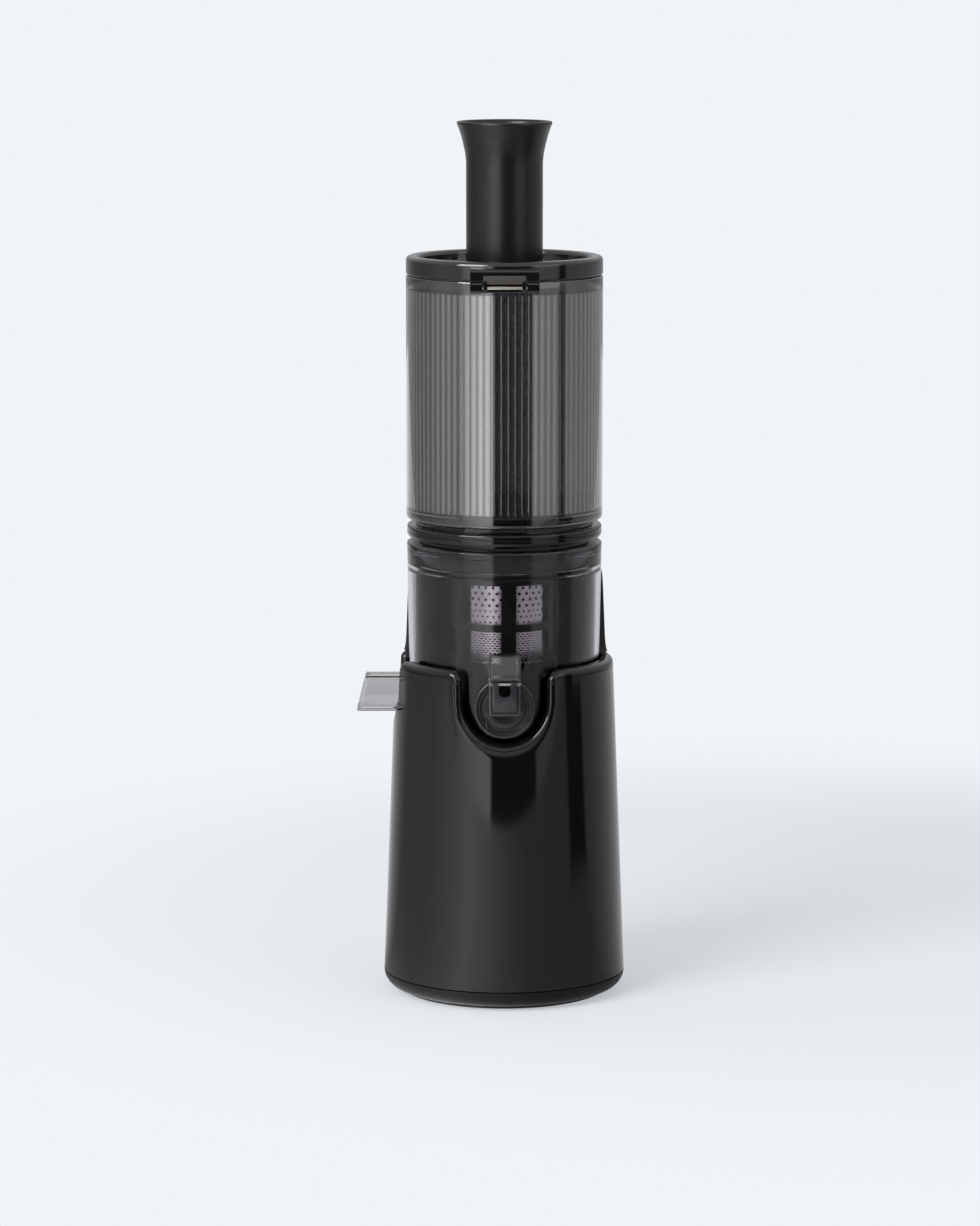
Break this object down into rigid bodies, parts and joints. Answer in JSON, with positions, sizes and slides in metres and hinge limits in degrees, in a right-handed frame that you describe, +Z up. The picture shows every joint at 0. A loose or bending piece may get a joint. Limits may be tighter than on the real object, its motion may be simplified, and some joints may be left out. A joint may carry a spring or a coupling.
{
  "type": "cold press juicer",
  "caption": "Slim self-feeding cold press juicer with a black conical base, smoke-grey bowl, ribbed clear hopper, hinged lid and pusher.",
  "frame": {"origin": "on the drive axis, in the plane of the rubber foot", "axes": "+Z up along the drive axis, -Y towards the juice spout, -X towards the pulp spout"},
  "size_m": [0.1665, 0.1644, 0.5397],
  "materials": {
    "gloss_black": "high gloss",
    "matt_black": "satin",
    "smoke_clear": "polished",
    "smoke_dark": "polished",
    "black_moulding": "gloss",
    "grey_moulding": "satin",
    "nylon": "satin",
    "rubber": "matt",
    "steel": "brushed",
    "bronze": "satin",
    "laminations": "satin",
    "board_green": "satin"
  },
  "bodies": {
    "base": {"base_shell": "gloss_black", "bowl_seat": "gloss_black", "back_wall": "gloss_black", "bottom_cover": "matt_black", "foot_ring": "rubber", "chassis": "matt_black", "motor_can": "steel", "stator": "laminations", "motor_lower_cap": "steel", "motor_upper_cap": "steel", "motor_bushes": "bronze", "motor_dampers": "rubber", "gearbox_housing": "matt_black", "gearbox_cover": "matt_black", "output_bushes": "bronze", "idler_axle": "steel", "deck_seal": "rubber", "control_board": "board_green", "capacitor": "grey_moulding", "bowl_sensor": "grey_moulding", "switch_body": "grey_moulding", "knob_bezel": "matt_black", "cord_gland": "rubber", "cover_screws": "steel", "motor_screws": "steel", "gearbox_screws": "steel", "deck_screws": "steel"},
    "rotor": {"rotor_core": "laminations", "motor_shaft": "steel", "cooling_fan": "nylon"},
    "idler": {"idler_gear": "nylon"},
    "drive": {"output_gear": "nylon", "drive_shaft": "steel"},
    "knob": {"control_knob": "matt_black"},
    "bowl_unit": {"bowl": "smoke_dark", "outlet_cap": "gloss_black", "bowl_seal": "rubber", "bowl_magnet": "laminations", "strainer_frame": "black_moulding", "upper_mesh": "steel", "lower_mesh": "steel", "flap_pin": "steel"},
    "flap": {"juice_flap": "smoke_dark"},
    "auger_unit": {"auger": "black_moulding"},
    "hopper_unit": {"hopper": "smoke_clear", "lock_ring": "gloss_black", "hopper_seal": "rubber", "hinge_pin": "steel"},
    "wing_unit": {"cutting_wing": "black_moulding"},
    "lid_unit": {"lid": "gloss_black", "lid_gasket": "rubber"},
    "pusher_unit": {"pusher": "matt_black"}
  },
  "joints": [
    {"name": "motor_spin", "type": "hinge", "parent": "base", "child": "rotor", "pos_m": [0, 0, 0.05], "axis": [0, 0, 1], "continuous": true},
    {"name": "idler_spin", "type": "hinge", "parent": "base", "child": "idler", "pos_m": [0.0312, 0, 0.1], "axis": [0, 0, 1], "continuous": true},
    {"name": "drive_spin", "type": "hinge", "parent": "base", "child": "drive", "pos_m": [0, 0, 0.14], "axis": [0, 0, 1], "continuous": true},
    {"name": "knob_turn", "type": "hinge", "parent": "base", "child": "knob", "pos_m": [0, 0.075, 0.122], "axis": [0, 1, 0], "range_deg": [-45, 45]},
    {"name": "bowl_lift", "type": "slide", "parent": "base", "child": "bowl_unit", "axis": [0, 0, 1], "range_m": [0, 0.11]},
    {"name": "flap_swing", "type": "hinge", "parent": "bowl_unit", "child": "flap", "pos_m": [0, -0.0754, 0.2038], "axis": [-1, 0, 0], "range_deg": [0, 75]},
    {"name": "auger_spin", "type": "hinge", "parent": "bowl_unit", "child": "auger_unit", "pos_m": [0, 0, 0.23], "axis": [0, 0, 1], "continuous": true},
    {"name": "hopper_lift", "type": "slide", "parent": "bowl_unit", "child": "hopper_unit", "axis": [0, 0, 1], "range_m": [0, 0.08]},
    {"name": "wing_spin", "type": "hinge", "parent": "hopper_unit", "child": "wing_unit", "pos_m": [0, 0, 0.31], "axis": [0, 0, 1], "continuous": true},
    {"name": "lid_hinge", "type": "hinge", "parent": "hopper_unit", "child": "lid_unit", "pos_m": [0, -0.0625, 0.4429], "axis": [1, 0, 0], "range_deg": [0, 105]},
    {"name": "pusher_slide", "type": "slide", "parent": "lid_unit", "child": "pusher_unit", "axis": [0, 0, 1], "range_m": [-0.064, 0.06]}
  ],
  "couplings": [
    {"joint": "idler_spin", "follows": "motor_spin", "ratio": -0.18182},
    {"joint": "drive_spin", "follows": "motor_spin", "ratio": 0.033058},
    {"joint": "auger_spin", "follows": "motor_spin", "ratio": 0.033058},
    {"joint": "wing_spin", "follows": "motor_spin", "ratio": 0.033058}
  ]
}
